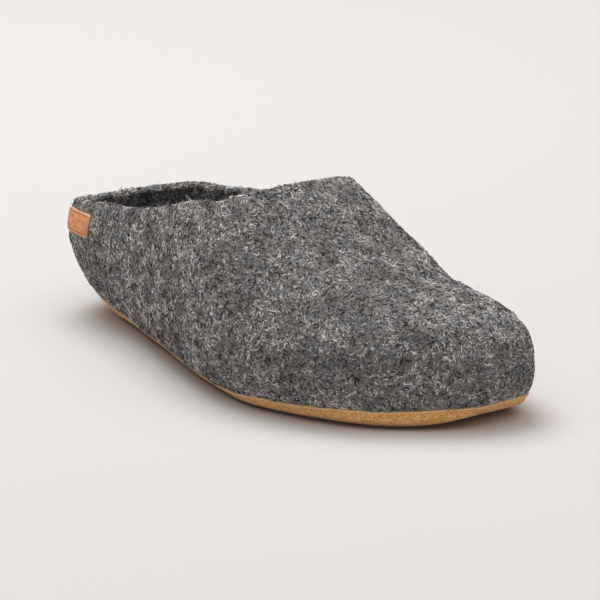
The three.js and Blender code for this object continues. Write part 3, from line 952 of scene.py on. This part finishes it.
# %% Leather
def leather_material():
    """Grain leather: fine cells from the pores, slow changes of tone, and a soft shine."""
    material, tree = blank_material("tan_grain_leather")
    where = node(tree, "TexCoord").outputs["Object"]
    grain = node(tree, "TexVoronoi", {"Vector": where, "Scale": 1 / (0.6 * MM)}, feature="DISTANCE_TO_EDGE")
    cells = stepped(tree, grain.outputs["Distance"], 0.0, 0.25)
    tone = noise(tree, where, 1.8 * MM, detail=3, roughness=0.6)
    colour = mixed(tree, stepped(tree, tone, 0.3, 0.7), linear("dd8248"), linear("ffbd88"))
    colour = mixed(tree, stepped(tree, cells, 0, 1, 0.45, 0), colour, linear("8f4f2c"))
    pressed_line = node(tree, "Attribute", attribute_name="pressed").outputs["Fac"]
    colour = mixed(tree, stepped(tree, pressed_line, 0.1, 1, 0, 0.6), colour, linear("8a4f30"))
    cut = node(tree, "Attribute", attribute_name="cut").outputs["Fac"]
    colour = mixed(tree, stepped(tree, cut, 0.2, 0.9, 0, 0.7), colour, linear("e6bd98"))
    height = node(tree, "Math", {0: tone, 1: 0.3, 2: cells}, operation="MULTIPLY_ADD").outputs[0]
    bump = node(tree, "Bump", {"Height": height, "Strength": 0.5, "Distance": 0.08 * MM})
    shader = node(
        tree,
        "BsdfPrincipled",
        {"Base Color": colour, "Roughness": 0.55, "IOR": 1.5, "Normal": bump.outputs[0]},
    )
    node(tree, "OutputMaterial", {"Surface": shader.outputs[0]})
    return material


heel_label.data.materials.append(leather_material())

# %% [markdown]
# ## Floor, light and camera
#
# The slipper stands on a plain pale floor in a white studio. A dome that is bright only overhead, and
# one large soft box behind the heel, give the dark, close shadow under the sole. A pale band round the
# horizon stands for the studio's walls: it lights the sides of the felt, and hardly the floor. The
# camera is far away with a long lens, 16.5 degrees above the floor and 56 degrees round to the toe.

# %% Floor and light
corners = np.array([[-4, -4, 0], [4, -4, 0], [4, 4, 0], [-4, 4, 0]])
floor = mesh_piece("studio_floor", corners, np.array([[0, 1, 2, 3]]))
paper, tree = blank_material("studio_paper")
paint = {"Base Color": linear("d2d0ce"), "Roughness": 0.9, "Specular IOR Level": 0.2}
shader = node(tree, "BsdfPrincipled", paint)
node(tree, "OutputMaterial", {"Surface": shader.outputs[0]})
floor.data.materials.append(paper)

world = bpy.data.worlds.new("studio_dome")
bpy.context.scene.world = world
world.use_nodes = True
sky = world.node_tree
up = node(sky, "SeparateXYZ", {"Vector": node(sky, "TexCoord").outputs["Generated"]}).outputs["Z"]
level = node(sky, "Math", {0: up}, operation="ABSOLUTE").outputs[0]
glow = stepped(sky, up, 0.5, 0.95, 0.04, 1.0)
walls = stepped(sky, level, 0.1, 0.34, 0.55, 0.0)
glow = node(sky, "Math", {0: glow, 1: walls}, operation="MAXIMUM").outputs[0]
sky.links.new(mixed(sky, glow, linear("000000"), linear("fffdfb")), sky.nodes["Background"].inputs["Color"])
sky.nodes["Background"].inputs["Strength"].default_value = 1.55


def soft_box(name, place, target, size, power):
    """A square area lamp that looks at a point."""
    lamp = bpy.data.lights.new(name, "AREA")
    lamp.size, lamp.energy = size, power
    made = bpy.data.objects.new(name, lamp)
    made.location = place
    made.rotation_euler = (Vector(target) - Vector(place)).to_track_quat("-Z", "Y").to_euler()
    bpy.context.scene.collection.objects.link(made)


soft_box("top_box", (-0.7, 0.1, 1.9), (0, 0, 0), 1.2, 25)

# %% Camera
AZIMUTH, ELEVATION, DISTANCE = np.radians(55.76), np.radians(16.48), 1.532
PIXELS, FOCAL_PIXELS, SENSOR = 600, 3400, 36  # a 600-pixel frame seen with a focal length of 3400 pixels
ROLL = np.radians(-0.58)
back = np.array(
    [np.sin(AZIMUTH) * np.cos(ELEVATION), -np.cos(AZIMUTH) * np.cos(ELEVATION), np.sin(ELEVATION)]
)
rightwards = np.array([np.cos(AZIMUTH), np.sin(AZIMUTH), 0])
heart_of_slipper = np.array([0, 0, 30 * MM])
eye = heart_of_slipper + DISTANCE * back
# the aim is a little to the right of the slipper's middle, which puts it where the photo has it
aim = heart_of_slipper + 12.05 * MM * rightwards - 1 * MM * np.cross(back, rightwards)
lens = bpy.data.cameras.new("studio_camera")
lens.lens, lens.sensor_width = FOCAL_PIXELS / PIXELS * SENSOR, SENSOR
lens.clip_start, lens.clip_end = 0.05, 50
camera = bpy.data.objects.new("studio_camera", lens)
camera.location = eye
turned = Vector(aim - eye).to_track_quat("-Z", "Y") @ Quaternion((0, 0, 1), ROLL)
camera.rotation_euler = turned.to_euler()
bpy.context.scene.collection.objects.link(camera)
bpy.context.scene.camera = camera
bpy.context.scene.view_settings.view_transform = "Standard"

# %% [markdown]
# ## What each piece stands for
#
# The last step ties the pieces to the CAD model: each rides on its one body, and the solid that it
# stands for is hidden.

# %% Pieces and bodies
for piece, stands_for, finish in (
    (felt_body, "upper", "wool_felt"),
    (suede_sole, "outsole", "suede"),
    (felt_insole, "insole", "insole_felt"),
    (heel_label, "heel_label", "label_leather"),
):
    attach(piece, "root")
    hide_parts(stands_for)
for piece in wool:
    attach(piece, "root")
